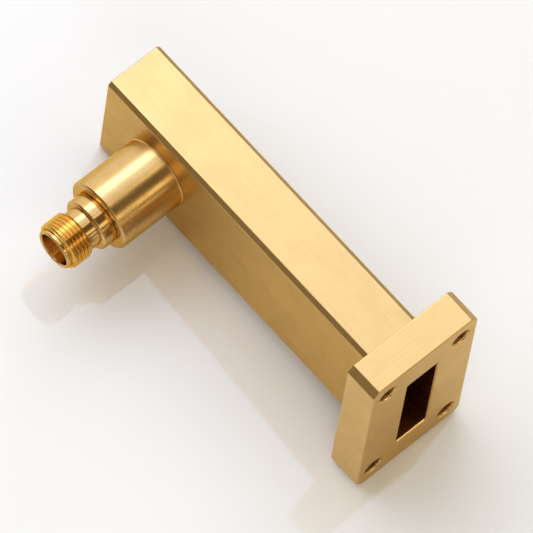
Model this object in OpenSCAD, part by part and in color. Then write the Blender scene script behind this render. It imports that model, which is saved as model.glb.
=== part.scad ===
// Rectangular waveguide to coaxial adapter: a closed length of flat guide with a drilled
// mounting flange on its open end and a threaded coaxial jack on its broad wall.
// +X leaves the guide through the flange, +Z is up across the guide's broad dimension, and
// the jack points to -Y. The origin is the centre of the aperture in the flange's front face.

/* [Guide] */
// Broad inside dimension of the guide, along Z
guide_a = 28.5; // [24:0.1:34]
// Narrow inside dimension of the guide, along Y
guide_b = 8.3; // [7:0.1:12]
// Wall on the left and right of the guide, which carries the jack
broad_wall_t = 3; // [2.4:0.1:4]
// Wall above and below the guide
narrow_wall_t = 1.2; // [1:0.1:3]
// Length of the body from its closed end to the back of the flange
body_length = 82.7; // [60:0.1:140]
// Chamfer along the body's four long edges
body_chamfer = 1; // [0.4:0.1:1.4]
// Corner radius of the guide and of its aperture
guide_corner_r = 0.4; // [0.2:0.05:1]
// Depth of the body end that is soldered into the flange
socket_depth = 5; // [3:0.1:6]

/* [Closed end] */
// Distance of the shorting face behind the jack's axis
backshort = 10.4; // [8:0.1:11]
// Depth of the shorting block below the body's end face
short_recess = 0.3; // [0:0.05:0.6]
// Edge break round the shorting block's outer face
short_chamfer = 0.25; // [0.1:0.05:0.5]

/* [Flange] */
// Width of the flange, along Y
flange_w = 28.8; // [26:0.1:40]
// Height of the flange, along Z
flange_h = 46.4; // [44:0.1:60]
// Thickness of the flange
flange_t = 8.2; // [7:0.1:12]
// Chamfer of the flange's four corners
flange_chamfer = 1.6; // [0.8:0.1:2.5]
// Distance of the hole centres from the flange's left and right sides
hole_edge_y = 4.3; // [3:0.05:4.6]
// Distance of the hole centres from the flange's top and bottom
hole_edge_z = 5.05; // [3:0.05:6]
// Largest diameter of the tapped holes
hole_d = 4.2; // [3:0.1:4.4]
// Diameter of the countersink at each hole's mouth
countersink_d = 5; // [4.6:0.1:5.4]

/* [Jack outside] */
// Distance of the jack's axis from the body's closed end
jack_from_end = 16.9; // [14:0.1:24]
// Diameter of the barrel
barrel_d = 16.7; // [15:0.1:20]
// Length of the barrel out of the body
barrel_length = 16.2; // [12:0.1:24]
// Diameter of the barrel's spigot in the body wall
spigot_d = 13; // [11:0.1:14]
// Length of the barrel's spigot in the body wall
spigot_length = 1.6; // [1:0.1:2]
// Diameter of the shell's shoulder ring
ring_d = 12.2; // [11.5:0.1:14]
// Length of the shell's shoulder ring
ring_length = 3.5; // [2:0.1:6]
// Diameter of the neck between the ring and the thread
neck_d = 9.4; // [9.1:0.1:10]
// Length of the neck
neck_length = 2.5; // [1.5:0.1:5]
// Outside diameter of the coupling thread
thread_d = 11.1; // [10.6:0.1:12]
// Length of the coupling thread
thread_length = 5.3; // [4.5:0.1:8]
// Diameter of the plain lip in front of the thread
lip_d = 9.4; // [9.1:0.1:10]
// Length of the plain lip
lip_length = 0.9; // [0.6:0.1:2]
// Chamfer on the front edges of the barrel and the ring
step_chamfer = 0.4; // [0.2:0.05:0.8]
// Chamfer on both ends of the thread
thread_chamfer = 0.5; // [0.3:0.05:0.7]

/* [Jack inside] */
// Diameter of the open mouth
mouth_d = 7.8; // [7.4:0.1:8.2]
// Depth of the mouth from the lip to its floor
mouth_depth = 8.4; // [7:0.1:9]
// Depth of the insulator's nose below the lip
nose_depth = 5; // [4.6:0.1:5.5]
// Diameter of the insulators
bead_d = 4.8; // [4.4:0.1:5]
// Diameter of the front insulator's clamped collar
collar_d = 6.8; // [6:0.1:7.2]
// Length of the front insulator's clamped collar
collar_length = 2.2; // [1:0.1:3]
// Diameter of the shell's spigot in the barrel
shell_spigot_d = 10; // [9:0.1:11]
// Length of the shell's spigot in the barrel
shell_spigot_length = 5; // [4:0.1:6]
// Length of the rear insulator inside the barrel
rear_bead_length = 3.5; // [2:0.1:4]
// Diameter of the coaxial line's bore between the insulators
line_d = 3.46; // [3.2:0.02:4]
// Diameter of the centre conductor's rod
rod_d = 1.5; // [1.3:0.02:1.8]
// Outside diameter of the female contact
contact_d = 2.2; // [2:0.05:2.6]
// Bore of the female contact
contact_bore_d = 1.4; // [1.3:0.02:1.6]
// Depth of the female contact's bore
contact_bore_depth = 5; // [4:0.1:5.5]
// Length of the female contact behind its tip
contact_length = 6.2; // [5.8:0.1:7]
// Length of the spring slots in the female contact
slot_length = 3.6; // [2:0.1:3.8]
// Width of the spring slots
slot_w = 0.3; // [0.2:0.05:0.4]
// Number of spring fingers on the female contact
finger_count = 4; // [2:2:6]

/* [Launch probe] */
// Diameter of the probe's stem
probe_stem_d = 1.9; // [1.8:0.1:2.4]
// Length of the probe's stem
probe_stem_length = 1.8; // [1:0.1:2.2]
// Diameter of the probe's head
probe_head_d = 3.8; // [3:0.1:4.4]
// Length of the probe's head
probe_head_length = 3.4; // [2:0.1:3.8]
// Rounding of the probe's head
probe_round = 0.6; // [0.3:0.1:0.9]
// Diameter of the rod's pin in the probe
pin_d = 1; // [0.8:0.05:1.2]
// Length of the rod's pin in the probe
pin_length = 2; // [1:0.1:2.4]

/* [Clearances] */
// Radial gap of every piece that is pressed or soldered in
fit_gap = 0.04; // [0.02:0.01:0.08]
// Gap below the end of every blind seat
seat_gap = 0.1; // [0.05:0.05:0.3]
// Small edge break on the body and the flange
edge_break = 0.2; // [0.1:0.05:0.3]

/* [Hidden] */

// Faces of turned pieces and of drilled holes
$fn = 96;
// How far a cut runs past the face that it opens
overrun = 1;

hole_pitch_y = flange_w - 2 * hole_edge_y;
hole_pitch_z = flange_h - 2 * hole_edge_z;

body_w = guide_b + 2 * broad_wall_t;
body_h = guide_a + 2 * narrow_wall_t;
body_front_x = -flange_t + socket_depth;
body_back_x = -flange_t - body_length;
jack_x = body_back_x + jack_from_end;
short_face_x = jack_x - backshort;

// Stations along the jack's axis, counted outwards from the body's side face
guide_station = -broad_wall_t;
spigot_station = -spigot_length;
ring_station = barrel_length;
neck_station = ring_station + ring_length;
thread_station = neck_station + neck_length;
lip_station = thread_station + thread_length;
mouth_station = lip_station + lip_length;
mouth_floor_station = mouth_station - mouth_depth;
nose_station = mouth_station - nose_depth;
socket_station = barrel_length - shell_spigot_length;
collar_station = socket_station + collar_length;
contact_tip_station = nose_station - seat_gap;
contact_station = contact_tip_station - contact_length;

// Rectangle on the origin with its four corners cut at 45 degrees
module chamfered_rect(w, h, c) {
    x = w / 2;
    y = h / 2;
    polygon([[x - c, y], [x, y - c], [x, c - y], [x - c, -y],
             [c - x, -y], [-x, c - y], [-x, y - c], [c - x, y]]);
}

// Rectangle on the origin with its four corners rounded
module rounded_rect(w, h, r) {
    square([w - 2 * r, h], center = true);
    square([w, h - 2 * r], center = true);
    for (sx = [-1, 1], sy = [-1, 1])
        translate([sx * (w / 2 - r), sy * (h / 2 - r)])
            circle(r);
}

// Extrudes an outline drawn in Y and Z along X, from x0 to x1
module along_x(x0, x1) {
    translate([x0, 0, 0])
        rotate([90, 0, 90])
            linear_extrude(x1 - x0)
                children();
}

// Bar along X whose end edges are broken all round
module bar(x0, x1, w, h, corner, edge) {
    length = x1 - x0;
    middle = (x0 + x1) / 2;
    intersection() {
        along_x(x0, x1)
            chamfered_rect(w, h, corner);
        translate([middle, 0, -h / 2])
            linear_extrude(h)
                chamfered_rect(length, w, edge);
        translate([middle, w / 2, 0])
            rotate([90, 0, 0])
                linear_extrude(w)
                    chamfered_rect(length, h, edge);
    }
}

// Places what is drawn round +Z on the jack's axis, with zero on the body's side face
module on_jack_axis() {
    translate([jack_x, -body_w / 2, 0])
        rotate([90, 0, 0])
            children();
}

// Turned solid from its half outline, listed as [diameter, station] pairs
module turned(outline) {
    rotate_extrude()
        polygon([for (p = outline) [p[0] / 2, p[1]]]);
}

// Round hole or rod between two stations
module round_bar(d, from, to) {
    translate([0, 0, from])
        cylinder(h = to - from, d = d);
}

// Drawn guide with its jack seat in the broad wall
module waveguide_body() {
    color("#e8c98a")
    difference() {
        bar(body_back_x, body_front_x, body_w, body_h, body_chamfer, edge_break);
        along_x(body_back_x - overrun, body_front_x + overrun)
            rounded_rect(guide_b, guide_a, guide_corner_r);
        on_jack_axis() {
            round_bar(spigot_d + 2 * fit_gap, spigot_station - seat_gap, overrun);
            round_bar(bead_d + 2 * fit_gap, guide_station - overrun, overrun);
        }
    }
}

// Flange with a socket for the body at its back and the guide's aperture in its face
module mounting_flange() {
    color("#e6c07c")
    difference() {
        bar(-flange_t, 0, flange_w, flange_h, flange_chamfer, edge_break);
        along_x(-flange_t - overrun, body_front_x)
            chamfered_rect(body_w + 2 * fit_gap, body_h + 2 * fit_gap, body_chamfer);
        along_x(-flange_t, overrun)
            rounded_rect(guide_b, guide_a, guide_corner_r);
        for (sy = [-1, 1], sz = [-1, 1])
            translate([0, sy * hole_pitch_y / 2, sz * hole_pitch_z / 2])
                rotate([0, -90, 0])
                    tapped_hole();
    }
}

// Hole through the flange, with a 45 degree countersink at both mouths
module tapped_hole() {
    sink = (countersink_d - hole_d) / 2;
    turned([[0, -overrun], [countersink_d + 2 * overrun, -overrun], [hole_d, sink],
            [hole_d, flange_t - sink], [countersink_d + 2 * overrun, flange_t + overrun],
            [0, flange_t + overrun]]);
}

// Block that closes the guide behind the jack
module end_short() {
    color("#d9b878")
    difference() {
        along_x(body_back_x + short_recess, short_face_x)
            rounded_rect(guide_b - 2 * fit_gap, guide_a - 2 * fit_gap, guide_corner_r);
        short_edge_break();
    }
}

// Wedges that break the four outer edges of the shorting block
module short_edge_break() {
    y = guide_b / 2 - fit_gap;
    z = guide_a / 2 - fit_gap;
    translate([body_back_x + short_recess, 0, 0])
        for (side = [0, 1], s = [-1, 1]) {
            reach = side == 0 ? y : z;
            run = side == 0 ? z : y;
            rotate([side == 0 ? 0 : 90, 0, 0])
                translate([0, s * reach, 0])
                    rotate([0, 0, 45])
                        cube([short_chamfer * sqrt(2), short_chamfer * sqrt(2),
                              2 * (run + overrun)], center = true);
        }
}

// Long barrel that carries the shell and holds the coaxial line
module connector_barrel() {
    shell_seat_d = shell_spigot_d + 2 * fit_gap;
    bead_seat_d = bead_d + 2 * fit_gap;
    rear_seat_station = rear_bead_length + seat_gap;
    color("#e6c07c")
    on_jack_axis()
        turned([[bead_seat_d, spigot_station], [spigot_d, spigot_station], [spigot_d, 0],
                [barrel_d, 0], [barrel_d, barrel_length - step_chamfer],
                [barrel_d - 2 * step_chamfer, barrel_length], [shell_seat_d, barrel_length],
                [shell_seat_d, socket_station], [line_d, socket_station],
                [line_d, rear_seat_station], [bead_seat_d, rear_seat_station]]);
}

// Threaded shell with its shoulder ring, neck, thread and plain lip
module connector_shell() {
    collar_seat_station = collar_station + seat_gap;
    bore_d = bead_d + 2 * fit_gap;
    color("#e3b45c")
    on_jack_axis()
        turned([[collar_d + 2 * fit_gap, socket_station + seat_gap],
                [shell_spigot_d, socket_station + seat_gap],
                [shell_spigot_d, ring_station], [ring_d, ring_station],
                [ring_d, neck_station - step_chamfer], [ring_d - 2 * step_chamfer, neck_station],
                [neck_d, neck_station], [neck_d, thread_station],
                [thread_d - 2 * thread_chamfer, thread_station],
                [thread_d, thread_station + thread_chamfer],
                [thread_d, lip_station - thread_chamfer],
                [thread_d - 2 * thread_chamfer, lip_station],
                [lip_d, lip_station], [lip_d, mouth_station - edge_break],
                [lip_d - 2 * edge_break, mouth_station],
                [mouth_d + 2 * edge_break, mouth_station], [mouth_d, mouth_station - edge_break],
                [mouth_d, mouth_floor_station], [bore_d, mouth_floor_station],
                [bore_d, collar_seat_station],
                [collar_d + 2 * fit_gap, collar_seat_station]]);
}

// Insulator that is clamped between the shell and the barrel and guides the contact
module front_insulator() {
    rod_hole_d = rod_d + 2 * fit_gap;
    contact_hole_d = contact_d + 2 * fit_gap;
    contact_seat_station = contact_station - seat_gap;
    color("#f3f1ea")
    on_jack_axis()
        turned([[rod_hole_d, socket_station], [collar_d, socket_station],
                [collar_d, collar_station], [bead_d, collar_station],
                [bead_d, nose_station], [contact_hole_d, nose_station],
                [contact_hole_d, contact_seat_station], [rod_hole_d, contact_seat_station]]);
}

// Insulator that leads the rod through the guide's wall
module rear_insulator() {
    color("#f3f1ea")
    on_jack_axis()
        difference() {
            round_bar(bead_d, guide_station, rear_bead_length);
            round_bar(rod_d + 2 * fit_gap, guide_station - overrun, rear_bead_length + overrun);
        }
}

// Rod with a slotted female contact in front and a pin for the probe behind
module centre_contact() {
    slot_station = contact_tip_station - slot_length;
    color("#e0b04a")
    on_jack_axis()
        difference() {
            union() {
                round_bar(pin_d, guide_station - pin_length, guide_station + pin_length);
                round_bar(rod_d, guide_station, contact_station + seat_gap);
                round_bar(contact_d, contact_station, contact_tip_station);
            }
            round_bar(contact_bore_d, contact_tip_station - contact_bore_depth,
                      contact_tip_station + overrun);
            for (i = [0 : finger_count / 2 - 1])
                rotate([0, 0, i * 360 / finger_count])
                    translate([-contact_d, -slot_w / 2, slot_station])
                        cube([2 * contact_d, slot_w, slot_length + overrun]);
        }
}

// Probe that launches the wave, with a rounded head inside the guide
module launch_probe() {
    head_station = guide_station - probe_stem_length;
    end_station = head_station - probe_head_length;
    ring_r = probe_head_d / 2 - probe_round;
    color("#e0b04a")
    on_jack_axis()
        difference() {
            union() {
                round_bar(probe_stem_d, head_station - overrun, guide_station);
                round_bar(probe_head_d, end_station + probe_round, head_station);
                round_bar(2 * ring_r, end_station, head_station);
                translate([0, 0, end_station + probe_round])
                    rotate_extrude()
                        translate([ring_r, 0])
                            circle(probe_round);
            }
            round_bar(pin_d + 2 * fit_gap, guide_station - pin_length - seat_gap,
                      guide_station + overrun);
        }
}

waveguide_body();
mounting_flange();
end_short();
connector_barrel();
connector_shell();
front_insulator();
rear_insulator();
centre_contact();
launch_probe();
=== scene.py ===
"""Looks of a rectangular waveguide to coaxial adapter in satin gold plate."""
import math

import bmesh
import bpy
from mathutils import Matrix, Vector


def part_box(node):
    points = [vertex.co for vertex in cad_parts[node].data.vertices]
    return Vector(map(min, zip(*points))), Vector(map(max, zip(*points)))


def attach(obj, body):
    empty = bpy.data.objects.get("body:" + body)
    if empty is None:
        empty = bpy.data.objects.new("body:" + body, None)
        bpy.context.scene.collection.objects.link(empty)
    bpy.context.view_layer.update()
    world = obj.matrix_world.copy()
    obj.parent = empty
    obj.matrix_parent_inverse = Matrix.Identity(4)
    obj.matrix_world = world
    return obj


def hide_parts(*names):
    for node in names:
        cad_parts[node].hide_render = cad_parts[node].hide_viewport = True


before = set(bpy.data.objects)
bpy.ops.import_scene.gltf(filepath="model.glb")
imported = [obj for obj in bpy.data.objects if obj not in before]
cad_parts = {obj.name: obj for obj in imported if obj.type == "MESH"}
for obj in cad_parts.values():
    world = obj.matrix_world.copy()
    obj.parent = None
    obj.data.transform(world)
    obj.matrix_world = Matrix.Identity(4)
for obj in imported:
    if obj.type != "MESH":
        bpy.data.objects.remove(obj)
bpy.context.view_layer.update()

MM = 0.001
BODY = "root"

# Camera of the photograph: angles in degrees, its scale in pixels per millimetre
CAMERA_AZIMUTH = 39.5
CAMERA_ELEVATION = 65.0
CAMERA_ROLL = 10.1
CAMERA_DISTANCE = 2400 * MM
PHOTO_SIDE = 533
PHOTO_SCALE = 4.833
FOCUS = Vector((0, 0, 0))
FOCUS_PIXEL = (417.0, 402.6)
SENSOR_WIDTH = 36.0
CLIP_START = 0.05
CLIP_END = 50.0

# Coupling thread of the jack, in millimetres
THREAD_PITCH = 0.907
THREAD_DEPTH = 0.45
THREAD_CHAMFER = 0.5
TURN_STEPS = 160
THREAD_STEPS = 14

# Thread in the flange's tapped holes, in millimetres
HOLE_R = 2.1
HOLE_PITCH = 0.79
HOLE_DEPTH = 0.42
HOLE_SINK = 0.4
HOLE_EDGE_Y = 4.3
HOLE_EDGE_Z = 5.05
HOLE_SKIN = 0.05
HOLE_TURN_STEPS = 64
HOLE_THREAD_STEPS = 10

# Share of the pitch at a thread's crest and root, for flanks at 60 degrees
CREST_SHARE = 0.16
ROOT_SHARE = 0.25

# Jack radii, and stations outwards from the body's side face, in millimetres
BARREL_R = 8.35
BARREL_END = 16.2
RING_R = 6.1
RING_END = 19.7
NECK_R = 4.7
NECK_END = 22.2
THREAD_R = 5.55
THREAD_END = 27.5
LIP_R = 4.7
MOUTH = 28.4
MOUTH_R = 3.9
MOUTH_FLOOR = 20.0
BEAD_R = 2.44
BEAD_END = 3.6
SPIGOT_R = 6.5
SPIGOT_DEPTH = 1.6
LINE_R = 1.73
SEAT_R = 5.04
SEAT_FLOOR = 11.2
TAIL_R = 5.0
TAIL_END = 11.3
TAIL_BORE_R = 3.44
TAIL_BORE_END = 13.5
STEP_CHAMFER = 0.4
RING_BREAK = 0.1
RIM_BREAK = 0.2
EDGE_ROUND = 0.06
BASE_BEAD = 0.24

# Inside of the guide, in millimetres
GUIDE_A = 28.5
GUIDE_B = 8.3
SKIN = 0.02

# Rounding on the edges of the body and the flange, in millimetres
SOFT_EDGE = 0.16
SOFT_STEPS = 3
RIM_CHAMFER = 0.26

# Depth below the thread's crest from which its flanks carry the painted reflection, in millimetres
CREST_SKIN = 0.04

# Mesh clean-up: vertices that close up, shortest edge, faces that count as one, sharp edges
MERGE = 0.0005 * MM
SHORTEST = 0.0002 * MM
FLAT_ANGLE = math.radians(0.3)
SHARP_ANGLE = math.radians(30)

# Share of a face's normal along X, below which it is a wall and above which it is an end face
WALL_LEAN = 0.5
END_LEAN = 0.9

# Golds at normal incidence, and the tint of their reflection near grazing incidence
GOLD = (0.635, 0.443, 0.188)
FLANGE_GOLD = (0.67, 0.465, 0.195)
TURNED_GOLD = (0.66, 0.435, 0.175)
# Yellower gold on the thread's flanks and root: painted reflection of light bouncing between the
# flanks
THREAD_REFLECTION_GOLD = (0.76, 0.46, 0.10)
# Dark red-brown gold on the guide's bore walls: painted shade inside the bore
BORE_SHADE_GOLD = (0.46, 0.19, 0.04)
# Near-black gold in the tapped holes' thread sleeves: painted shade inside the holes
HOLE_SHADE_GOLD = (0.2, 0.085, 0.018)
# Grazing tints, partly the real tint of gold: the body's is dulled as painted shade on its side
# faces, the flange's is nearly white as painted light on its front face
BODY_SHADED_EDGE = (0.84, 0.63, 0.38, 1.0)
FLANGE_LIT_EDGE = (1.0, 0.86, 0.66, 1.0)
TURNED_EDGE = (0.87, 0.65, 0.32, 1.0)

# Grain of each finish, in turns of the noise per metre along X, Y and Z
DRAWN_ALONG_X = (80, 4000, 4000)
MILLED_ALONG_Y = (4000, 100, 4000)
TURNED_ROUND_Y = (1500, 9000, 1500)
BORE_ALONG_X = (110, 3600, 3600)
HOLE_EVEN = (1500, 1500, 1500)
BUMP_DEPTH = 0.02 * MM
CLOUD_SCALE = 130.0
TONE_LOW = 0.4
TONE_HIGH = 0.6
DULLEST = 1.15
BRIGHTEST = 0.88

# Insulator
PLASTIC = (0.86, 0.85, 0.81)
PLASTIC_CLOUD = 900.0
PLASTIC_DARK = 0.94
PLASTIC_LOW = 0.35
PLASTIC_HIGH = 0.65
PLASTIC_BUMP = 0.2
PLASTIC_DEPTH = (0.6 * MM, 0.5 * MM, 0.4 * MM)

# Floor and room: colours, and the heights between which the pale wall turns dark
FLOOR_SIDE = 3.0
FLOOR_PARTS = 4
FLOOR_COLOUR = (0.915, 0.92, 0.875, 1.0)
FLOOR_ROUGHNESS = 0.05
FLOOR_GLOSS = 1.0
WALL = (0.85, 0.83, 0.79, 1.0)
WALL_TOP = 0.02
ROOM = (0.15, 0.10, 0.04, 1.0)
ROOM_FOOT = 0.06

# Lamp colours, and the direction of each lamp's width
WHITE = (0.93, 1.0, 1.2)
PALE = (0.97, 1.0, 1.05)
SOFT = (0.97, 0.97, 1.06)
CREAM = (1.0, 0.92, 0.7)
AMBER = (1.0, 0.85, 0.56)
BROWN = (1.0, 0.72, 0.36)
ALONG_X = Vector((1, 0, 0))
ALONG_Y = Vector((0, 1, 0))


def direction(azimuth, elevation):
    """Unit vector from the object towards a camera at that azimuth and elevation."""
    a, e = math.radians(azimuth), math.radians(elevation)
    return Vector((math.sin(a) * math.cos(e), -math.cos(a) * math.cos(e), math.sin(e)))


def node_tree(name):
    """New material with an empty node tree and its Principled shader."""
    material = bpy.data.materials.new(name)
    material.use_nodes = True
    tree = material.node_tree
    tree.nodes.clear()
    out = tree.nodes.new("ShaderNodeOutputMaterial")
    shader = tree.nodes.new("ShaderNodeBsdfPrincipled")
    tree.links.new(shader.outputs["BSDF"], out.inputs["Surface"])
    return material, tree, shader


def add(tree, kind, **inputs):
    """New node with its named inputs set to values or linked to sockets."""
    node = tree.nodes.new(kind)
    for key, value in inputs.items():
        socket = node.inputs[key.replace("_", " ")]
        if isinstance(value, bpy.types.NodeSocket):
            tree.links.new(value, socket)
        else:
            socket.default_value = value
    return node


def math_node(tree, operation, a, b):
    node = tree.nodes.new("ShaderNodeMath")
    node.operation = operation
    for socket, value in zip(node.inputs, (a, b)):
        if isinstance(value, bpy.types.NodeSocket):
            tree.links.new(value, socket)
        else:
            socket.default_value = value
    return node.outputs[0]


def object_point(tree, scale):
    """Object coordinates, stretched by one factor for each axis."""
    point = tree.nodes.new("ShaderNodeTexCoord").outputs["Object"]
    mapping = add(tree, "ShaderNodeMapping", Vector=point, Scale=scale)
    return mapping.outputs["Vector"]


def ramp(tree, value, stops):
    node = add(tree, "ShaderNodeValToRGB", Fac=value)
    band = node.color_ramp
    while len(band.elements) > len(stops):
        band.elements.remove(band.elements[-1])
    while len(band.elements) < len(stops):
        band.elements.new(1.0)
    for element, (place, colour) in zip(band.elements, stops):
        element.position = place
        element.color = colour
    return node.outputs["Color"]


def grey(value):
    return (value, value, value, 1.0)


def plated(name, base, edge, roughness, grain_scale, grain_depth, mottle):
    """Gold plate with a fine grain, a slow change of tone and small changes of gloss."""
    material, tree, shader = node_tree(name)
    shader.inputs["Metallic"].default_value = 1.0
    shader.inputs["Specular Tint"].default_value = edge
    grain = add(tree, "ShaderNodeTexNoise", Vector=object_point(tree, grain_scale),
                Scale=1.0, Detail=3.0, Roughness=0.6).outputs["Fac"]
    cloud = add(tree, "ShaderNodeTexNoise", Vector=object_point(tree, (1, 1, 1)),
                Scale=CLOUD_SCALE, Detail=4.0, Roughness=0.6).outputs["Fac"]
    dark = [c * (1 - mottle) for c in base]
    light = [min(1.0, c * (1 + mottle)) for c in base]
    tone = math_node(tree, "ADD", math_node(tree, "MULTIPLY", grain, 0.5),
                     math_node(tree, "MULTIPLY", cloud, 0.5))
    colour = ramp(tree, tone, [(TONE_LOW, (*dark, 1.0)), (TONE_HIGH, (*light, 1.0))])
    gloss = ramp(tree, tone, [(TONE_LOW, grey(roughness * DULLEST)),
                              (TONE_HIGH, grey(roughness * BRIGHTEST))])
    bump = add(tree, "ShaderNodeBump", Height=grain, Strength=grain_depth, Distance=BUMP_DEPTH)
    tree.links.new(colour, shader.inputs["Base Color"])
    tree.links.new(gloss, shader.inputs["Roughness"])
    tree.links.new(bump.outputs["Normal"], shader.inputs["Normal"])
    return material


def matt(name, base, roughness):
    """Matt fluoroplastic with a faint cloud and a fine machined grain."""
    material, tree, shader = node_tree(name)
    cloud = add(tree, "ShaderNodeTexNoise", Vector=object_point(tree, (1, 1, 1)),
                Scale=PLASTIC_CLOUD, Detail=3.0).outputs["Fac"]
    dark = [c * PLASTIC_DARK for c in base]
    colour = ramp(tree, cloud, [(PLASTIC_LOW, (*dark, 1.0)), (PLASTIC_HIGH, (*base, 1.0))])
    bump = add(tree, "ShaderNodeBump", Height=cloud, Strength=PLASTIC_BUMP, Distance=BUMP_DEPTH)
    shader.inputs["Roughness"].default_value = roughness
    shader.inputs["Subsurface Weight"].default_value = 0.1
    shader.inputs["Subsurface Radius"].default_value = PLASTIC_DEPTH
    tree.links.new(colour, shader.inputs["Base Color"])
    tree.links.new(bump.outputs["Normal"], shader.inputs["Normal"])
    return material


BODY_PLATE = plated("brushed_plate", GOLD, BODY_SHADED_EDGE, roughness=0.32,
                    grain_scale=DRAWN_ALONG_X, grain_depth=0.32, mottle=0.06)
FLANGE_PLATE = plated("flange_plate", FLANGE_GOLD, FLANGE_LIT_EDGE, roughness=0.32,
                      grain_scale=MILLED_ALONG_Y, grain_depth=0.3, mottle=0.05)
TURNED_PLATE = plated("turned_plate", TURNED_GOLD, TURNED_EDGE, roughness=0.24,
                      grain_scale=TURNED_ROUND_Y, grain_depth=0.15, mottle=0.09)
JACK_PLATE = plated("jack_plate", TURNED_GOLD, TURNED_EDGE, roughness=0.17,
                    grain_scale=TURNED_ROUND_Y, grain_depth=0.1, mottle=0.05)
# Plate of the thread's flanks and root, its yellower gold a painted reflection
THREAD_REFLECTION_PLATE = plated("thread_painted_reflection", THREAD_REFLECTION_GOLD, TURNED_EDGE, roughness=0.2,
                      grain_scale=TURNED_ROUND_Y, grain_depth=0.1, mottle=0.05)
# Plate of the guide's bore walls, its dark red-brown gold painted shade
BORE_SHADE_PLATE = plated("bore_painted_shade", BORE_SHADE_GOLD, TURNED_EDGE, roughness=0.28,
                    grain_scale=BORE_ALONG_X, grain_depth=0.1, mottle=0.05)
# Plate of the holes' thread sleeves, its near-black gold painted shade
HOLE_SHADE_PLATE = plated("hole_painted_shade", HOLE_SHADE_GOLD, TURNED_EDGE, roughness=0.13,
                    grain_scale=HOLE_EVEN, grain_depth=0.1, mottle=0.05)
CONTACT_PLATE = plated("contact_plate", GOLD, TURNED_EDGE, roughness=0.22,
                       grain_scale=TURNED_ROUND_Y, grain_depth=0.1, mottle=0.05)
INSULATOR = matt("insulator", PLASTIC, roughness=0.45)


def finish_nodes():
    """Gives every CAD node that stays its own plated or moulded finish."""
    finishes = {
        "end_short": BODY_PLATE, "front_insulator": INSULATOR, "rear_insulator": INSULATOR,
        "centre_contact": CONTACT_PLATE, "launch_probe": CONTACT_PLATE,
    }
    for name, material in finishes.items():
        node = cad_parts[name]
        for slot in node.material_slots:
            slot.material = material


def new_piece(name, mesh, material, slot, *replaced):
    """Adds a finished mesh as a piece that rides on the one body."""
    mesh.materials.clear()
    mesh.materials.append(material)
    for face in mesh.polygons:
        face.material_index = 0
    piece = bpy.data.objects.new(name, mesh)
    bpy.context.scene.collection.objects.link(piece)
    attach(piece, BODY)
    if replaced:
        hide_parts(*replaced)
    return piece


def in_guide(point, skin):
    """Whether a point lies in the guide's bore or within a skin of its wall."""
    return abs(point.y) / MM < GUIDE_B / 2 + skin and abs(point.z) / MM < GUIDE_A / 2 + skin


def near_hole(point, corner):
    """Whether a point lies in a tapped hole or its countersink, given the flange's corner."""
    from_y = corner.y / MM - HOLE_EDGE_Y - abs(point.y) / MM
    from_z = corner.z / MM - HOLE_EDGE_Z - abs(point.z) / MM
    return math.hypot(from_y, from_z) < HOLE_R + HOLE_SINK + SKIN


def shade_bore_and_gloss_rims(mesh):
    """Paints the guide's bore walls a dark red-brown gold as painted shade, and gives the rims of
    aperture and holes a glossier, brighter finish.
    """
    mesh.materials.append(BORE_SHADE_PLATE)
    mesh.materials.append(JACK_PLATE)
    _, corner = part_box("mounting_flange")
    for face in mesh.polygons:
        middle, lean = face.center, face.normal.x
        if abs(lean) < WALL_LEAN and in_guide(middle, SKIN):
            face.material_index = 1
        elif WALL_LEAN < lean < END_LEAN and (
                in_guide(middle, RIM_CHAMFER) or near_hole(middle, corner)):
            face.material_index = 2


def soft_copy(name, node_name, material, slot):
    """Copy of a node's planar solid, its outer edges rounded and the aperture's rim chamfered."""
    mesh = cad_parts[node_name].data.copy()
    mesh.name = name
    build = bmesh.new()
    build.from_mesh(mesh)
    bmesh.ops.remove_doubles(build, verts=build.verts, dist=MERGE)
    bmesh.ops.dissolve_limit(build, angle_limit=FLAT_ANGLE, verts=build.verts,
                             edges=build.edges, use_dissolve_boundaries=False)
    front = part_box("mounting_flange")[1].x
    for face in build.faces:
        face.smooth = False
    outer, rim = [], []
    for edge in build.edges:
        if edge.calc_face_angle(0.0) > SHARP_ANGLE:
            middle = (edge.verts[0].co + edge.verts[1].co) / 2
            if not in_guide(middle, SKIN):
                outer.append(edge)
            elif middle.x > front - SOFT_EDGE * MM:
                rim.append(edge)
    bmesh.ops.bevel(build, geom=rim, offset=RIM_CHAMFER * MM, segments=1, affect="EDGES",
                    clamp_overlap=False)
    soft = bmesh.ops.bevel(build, geom=outer, offset=SOFT_EDGE * MM, segments=SOFT_STEPS,
                           affect="EDGES", profile=0.5, clamp_overlap=True)
    for face in soft["faces"]:
        face.smooth = True
    build.to_mesh(mesh)
    build.free()
    old_normals = mesh.attributes.get("custom_normal")
    if old_normals:
        mesh.attributes.remove(old_normals)
    piece = new_piece(name, mesh, material, slot, node_name)
    shade_bore_and_gloss_rims(mesh)
    return piece


def thread_height(phase):
    """Height of a truncated thread with 60 degree flanks at a phase of its pitch, from 0 to 1."""
    distance = abs(phase - math.floor(phase + 0.5))
    flank = (1 - CREST_SHARE - ROOT_SHARE) / 2
    return min(1.0, max(0.0, 1 - (distance - CREST_SHARE / 2) / flank))


def thread_column(turn, start, end, pitch, steps):
    """Stations of one lengthwise line across a right-hand thread, with their phases."""
    rows = math.ceil((end - start) / pitch + 1) * steps
    stations = []
    for k in range(rows + 1):
        station = start - pitch + pitch * (k / steps + turn)
        station = min(end, max(start, station))
        phase = (station - start) / pitch - turn
        stations.append((station, phase))
    return stations


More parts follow.
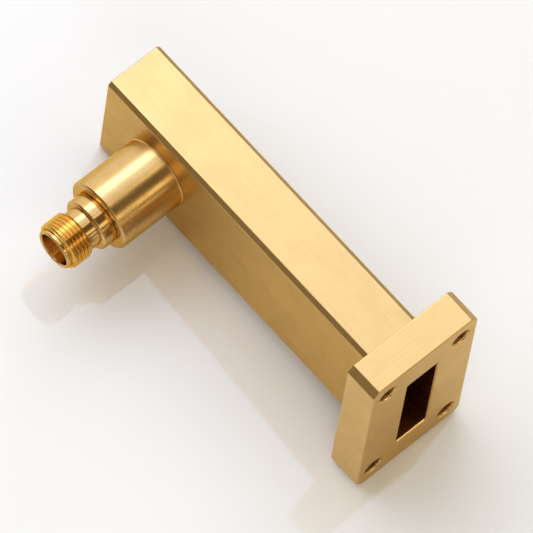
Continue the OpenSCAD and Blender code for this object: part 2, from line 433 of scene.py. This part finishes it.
def turned_mesh(name, place, steps, outline_at):
    """Closed solid of revolution whose [radius, station] outline may change with the turn."""
    build = bmesh.new()
    columns = []
    for i in range(steps + 1):
        turn = i / steps
        angle = 2 * math.pi * turn
        column = []
        for radius, station in outline_at(turn):
            point = Vector((radius * math.cos(angle), radius * math.sin(angle), station)) * MM
            column.append(build.verts.new(place @ point))
        columns.append(column)
    for left, right in zip(columns, columns[1:]):
        count = len(left)
        for j in range(count):
            k = (j + 1) % count
            build.faces.new((left[j], right[j], right[k], left[k]))
    bmesh.ops.remove_doubles(build, verts=build.verts, dist=MERGE)
    bmesh.ops.dissolve_degenerate(build, edges=build.edges, dist=SHORTEST)
    bmesh.ops.recalc_face_normals(build, faces=build.faces)
    mesh = bpy.data.meshes.new(name)
    build.to_mesh(mesh)
    build.free()
    for face in mesh.polygons:
        face.use_smooth = True
    mesh.set_sharp_from_angle(angle=SHARP_ANGLE)
    return mesh


def rounded(outline, radius):
    """Outline with every corner cut by two short edges, which rounds it when turned."""
    soft = []
    count = len(outline)
    for i, corner in enumerate(outline):
        here = Vector(corner)
        before = Vector(outline[i - 1]) - here
        after = Vector(outline[(i + 1) % count]) - here
        reach = min(radius, before.length * 0.4, after.length * 0.4)
        first = here + before.normalized() * reach
        last = here + after.normalized() * reach
        middle = (first + last) / 4 + here / 2
        soft += [tuple(first), tuple(middle), tuple(last)]
    return soft


def jack_place():
    """Places a solid turned round +Z on the jack's axis, with zero on the body's side face."""
    shell_low, shell_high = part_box("connector_shell")
    body_low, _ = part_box("waveguide_body")
    axis_x = (shell_low.x + shell_high.x) / 2
    axis_z = (shell_low.z + shell_high.z) / 2
    turn = Matrix.Rotation(math.radians(90), 4, "X")
    return Matrix.Translation(Vector((axis_x, body_low.y, axis_z))) @ turn


def make_barrel():
    """Barrel with its chamfered front edge and small breaks where it meets its neighbours."""
    outline = rounded([
        (BEAD_R, -SPIGOT_DEPTH), (SPIGOT_R, -SPIGOT_DEPTH), (SPIGOT_R, 0.0),
        (BARREL_R + BASE_BEAD, 0.0),
        (BARREL_R + BASE_BEAD, 0.5 * BASE_BEAD), (BARREL_R + 0.5 * BASE_BEAD, BASE_BEAD),
        (BARREL_R, 1.2 * BASE_BEAD),
        (BARREL_R, BARREL_END - STEP_CHAMFER), (BARREL_R - STEP_CHAMFER, BARREL_END),
        (SEAT_R, BARREL_END), (SEAT_R, SEAT_FLOOR), (LINE_R, SEAT_FLOOR), (LINE_R, BEAD_END),
        (BEAD_R, BEAD_END)], EDGE_ROUND)
    mesh = turned_mesh("barrel_turned", jack_place(), TURN_STEPS, lambda turn: outline)
    new_piece("barrel_turned", mesh, TURNED_PLATE, "turned_plate", "connector_barrel")


def shell_outline(turn):
    """Half outline of the shell at one turn, with its thread cut."""
    head = rounded([
        (TAIL_BORE_R, TAIL_END), (TAIL_R, TAIL_END), (TAIL_R, BARREL_END),
        (RING_R - RING_BREAK, BARREL_END), (RING_R, BARREL_END + RING_BREAK),
        (RING_R, RING_END - STEP_CHAMFER),
        (RING_R - STEP_CHAMFER, RING_END), (NECK_R, RING_END), (NECK_R, NECK_END)], EDGE_ROUND)
    nose = rounded([
        (LIP_R, THREAD_END), (LIP_R, MOUTH - RIM_BREAK), (LIP_R - RIM_BREAK, MOUTH),
        (MOUTH_R + RIM_BREAK, MOUTH), (MOUTH_R, MOUTH - RIM_BREAK), (MOUTH_R, MOUTH_FLOOR),
        (BEAD_R, MOUTH_FLOOR), (BEAD_R, TAIL_BORE_END), (TAIL_BORE_R, TAIL_BORE_END)],
        EDGE_ROUND)
    ridges = []
    for station, phase in thread_column(turn, NECK_END, THREAD_END, THREAD_PITCH, THREAD_STEPS):
        inset = max(0.0, THREAD_CHAMFER - min(station - NECK_END, THREAD_END - station))
        radius = THREAD_R - THREAD_DEPTH * (1 - thread_height(phase))
        ridges.append((min(radius, THREAD_R - inset), station))
    return head + ridges + nose


def paint_thread_reflection(mesh):
    """Paints the flanks and the root of the coupling thread a deeper, yellower gold, as painted
    reflection of the light that bounces between the flanks.
    """
    mesh.materials.append(THREAD_REFLECTION_PLATE)
    outwards = jack_place().inverted()
    for face in mesh.polygons:
        point = outwards @ face.center / MM
        radius = math.hypot(point.x, point.y)
        if NECK_END < point.z < THREAD_END and NECK_R < radius < THREAD_R - CREST_SKIN:
            face.material_index = 1


def make_shell():
    mesh = turned_mesh("shell_threaded", jack_place(), TURN_STEPS, shell_outline)
    new_piece("shell_threaded", mesh, JACK_PLATE, "turned_plate", "connector_shell")
    paint_thread_reflection(mesh)


def make_hole_threads():
    """Thread ridges in the flange's four tapped holes, each a thin sleeve in its hole's wall,
    painted a near-black gold as shade inside the hole.
    """
    low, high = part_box("mounting_flange")
    depth = (high.x - low.x) / MM
    turn_x = Matrix.Rotation(math.radians(-90), 4, "Y")

    def outline(turn):
        start, end = HOLE_SINK, depth - HOLE_SINK
        ridges = []
        for station, phase in thread_column(turn, start, end, HOLE_PITCH, HOLE_THREAD_STEPS):
            inset = min(station - start, end - station)
            radius = HOLE_R - HOLE_DEPTH * thread_height(phase)
            ridges.append((max(radius, HOLE_R - inset), station))
        return [(HOLE_R + HOLE_SKIN, start)] + ridges + [(HOLE_R + HOLE_SKIN, end)]

    number = 0
    for y in (low.y + HOLE_EDGE_Y * MM, high.y - HOLE_EDGE_Y * MM):
        for z in (low.z + HOLE_EDGE_Z * MM, high.z - HOLE_EDGE_Z * MM):
            number += 1
            place = Matrix.Translation(Vector((high.x, y, z))) @ turn_x
            name = f"hole_thread_{number}"
            mesh = turned_mesh(name, place, HOLE_TURN_STEPS, outline)
            new_piece(name, mesh, HOLE_SHADE_PLATE, "flange_plate")


def make_camera():
    """Long lens at the photograph's angle, rolled so that the guide runs down to the right."""
    towards = direction(CAMERA_AZIMUTH, CAMERA_ELEVATION)
    view = (-towards).to_track_quat("-Z", "Y").to_matrix()
    roll = Matrix.Rotation(math.radians(CAMERA_ROLL), 3, "Z")
    turn = view @ roll
    span = PHOTO_SIDE / PHOTO_SCALE * MM
    camera = bpy.data.cameras.new("photo_camera")
    camera.sensor_width = SENSOR_WIDTH
    camera.lens = camera.sensor_width * CAMERA_DISTANCE / span
    camera.clip_start = CLIP_START
    camera.clip_end = CLIP_END
    scale = PHOTO_SCALE / MM
    right = turn @ Vector((1, 0, 0))
    up = turn @ Vector((0, 1, 0))
    centre = PHOTO_SIDE / 2
    target = (FOCUS - right * ((FOCUS_PIXEL[0] - centre) / scale)
              + up * ((FOCUS_PIXEL[1] - centre) / scale))
    holder = bpy.data.objects.new("photo_camera", camera)
    bpy.context.scene.collection.objects.link(holder)
    holder.matrix_world = (Matrix.Translation(target + towards * CAMERA_DISTANCE)
                           @ turn.to_4x4())
    bpy.context.scene.camera = holder


def make_floor():
    """Pale floor that touches the flange's bottom edge and the body's bottom back edge."""
    flange_low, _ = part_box("mounting_flange")
    body_low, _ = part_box("waveguide_body")
    rise = body_low.z - flange_low.z
    run = flange_low.x - body_low.x
    slope = math.atan2(rise, run)
    mesh = bpy.data.meshes.new("floor")
    build = bmesh.new()
    bmesh.ops.create_grid(build, x_segments=FLOOR_PARTS, y_segments=FLOOR_PARTS,
                           size=FLOOR_SIDE)
    build.to_mesh(mesh)
    build.free()
    floor = bpy.data.objects.new("floor", mesh)
    bpy.context.scene.collection.objects.link(floor)
    floor.matrix_world = (Matrix.Translation(Vector((flange_low.x, 0, flange_low.z)))
                          @ Matrix.Rotation(slope, 4, "Y"))
    material, tree, shader = node_tree("floor_paint")
    shader.inputs["Base Color"].default_value = FLOOR_COLOUR
    shader.inputs["Roughness"].default_value = FLOOR_ROUGHNESS
    shader.inputs["Specular IOR Level"].default_value = FLOOR_GLOSS
    mesh.materials.append(material)


def soft_box(name, towards, along, distance, width, height, level, colour):
    """Rectangular lamp that faces the origin, its width along one direction, of even brightness."""
    lamp = bpy.data.lights.new(name, "AREA")
    lamp.shape = "RECTANGLE"
    lamp.size = width
    lamp.size_y = height
    lamp.energy = level * math.pi * width * height
    lamp.color = colour
    holder = bpy.data.objects.new(name, lamp)
    bpy.context.scene.collection.objects.link(holder)
    z_axis = Vector(towards).normalized()
    x_axis = (along - z_axis * along.dot(z_axis)).normalized()
    y_axis = z_axis.cross(x_axis)
    turn = Matrix((x_axis, y_axis, z_axis)).transposed().to_4x4()
    holder.matrix_world = Matrix.Translation(z_axis * distance) @ turn


def make_world():
    """Dark warm room behind the lamps, with a pale wall round the horizon."""
    world = bpy.data.worlds.new("studio")
    bpy.context.scene.world = world
    world.use_nodes = True
    tree = world.node_tree
    tree.nodes.clear()
    out = tree.nodes.new("ShaderNodeOutputWorld")
    point = tree.nodes.new("ShaderNodeTexCoord").outputs["Generated"]
    height = add(tree, "ShaderNodeSeparateXYZ", Vector=point).outputs["Z"]
    wall = ramp(tree, height, [(WALL_TOP, WALL), (ROOM_FOOT, ROOM)])
    shade = add(tree, "ShaderNodeBackground", Color=wall, Strength=1.0)
    tree.links.new(shade.outputs[0], out.inputs["Surface"])


def make_light():
    """Overhead soft boxes, the brightest part at the back, with smaller lamps at four sides."""
    soft_box("key", (-0.5, 0.06, 1.0), ALONG_Y, distance=1.1, width=2.2, height=1.08,
             level=1.18, colour=WHITE)
    soft_box("hot", (-0.6, 0.12, 0.82), ALONG_Y, distance=1.03, width=1.5, height=0.4,
             level=2.1, colour=WHITE)
    soft_box("edge", (0.115, 0.06, 1.0), ALONG_Y, distance=1.1, width=2.2, height=0.18,
             level=1.4, colour=CREAM)
    soft_box("side", (-1.0, 0.2, 0.36), ALONG_Y, distance=1.3, width=1.5, height=0.82,
             level=1.08, colour=PALE)
    soft_box("strip", (0.78, 0.3, 0.6), ALONG_Y, distance=1.2, width=1.8, height=0.28,
             level=1.5, colour=AMBER)
    soft_box("fill", (0.62, -0.62, 0.6), ALONG_Y, distance=1.3, width=0.9, height=0.9,
             level=1.28, colour=SOFT)
    soft_box("front", (0.9, 0.33, 0.27), ALONG_Y, distance=1.3, width=1.2, height=0.12,
             level=2.2, colour=CREAM)
    soft_box("left", (-0.27, -0.9, 0.33), ALONG_X, distance=1.3, width=1.4, height=0.35,
             level=0.15, colour=BROWN)


make_camera()
finish_nodes()
soft_copy("body_brushed", "waveguide_body", BODY_PLATE, "brushed_plate")
soft_copy("flange_milled", "mounting_flange", FLANGE_PLATE, "flange_plate")
make_hole_threads()
make_barrel()
make_shell()
make_floor()
make_world()
make_light()
bpy.context.scene.view_settings.view_transform = "Standard"
